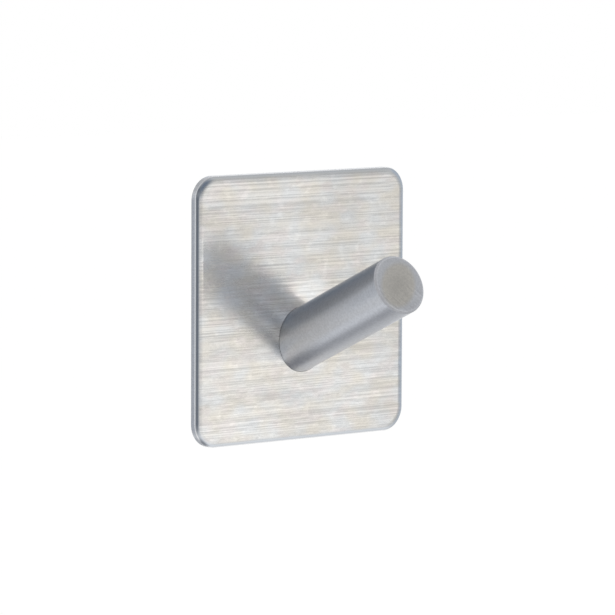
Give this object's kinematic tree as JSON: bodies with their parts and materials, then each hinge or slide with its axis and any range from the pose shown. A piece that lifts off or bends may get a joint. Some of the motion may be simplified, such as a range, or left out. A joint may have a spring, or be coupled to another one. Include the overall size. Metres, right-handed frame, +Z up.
{
  "type": "adhesive wall hook",
  "caption": "Stick-on wall hook: a rounded square plate of brushed steel with a round steel peg that leans upwards, on a foam adhesive pad.",
  "frame": {"origin": "middle of the adhesive face that sticks to the wall", "axes": "+X along the wall, to the right seen from the front; +Z up; +Y into the wall, so that the plate's face and the peg point to -Y"},
  "size_m": [0.045, 0.0294, 0.045],
  "materials": {
    "plate_steel": "brushed level, with soft warm and cool patches",
    "peg_steel": "satin, turned end",
    "screw_steel": "plain",
    "pin_steel": "ground",
    "foam": "closed-cell foam",
    "adhesive": "tacky film"
  },
  "bodies": {
    "root": {"face_plate": "plate_steel", "peg": "peg_steel", "peg_screw": "screw_steel", "locating_pin": "pin_steel", "plate_side_adhesive": "adhesive", "foam_core": "foam", "wall_side_adhesive": "adhesive"}
  },
  "joints": []
}
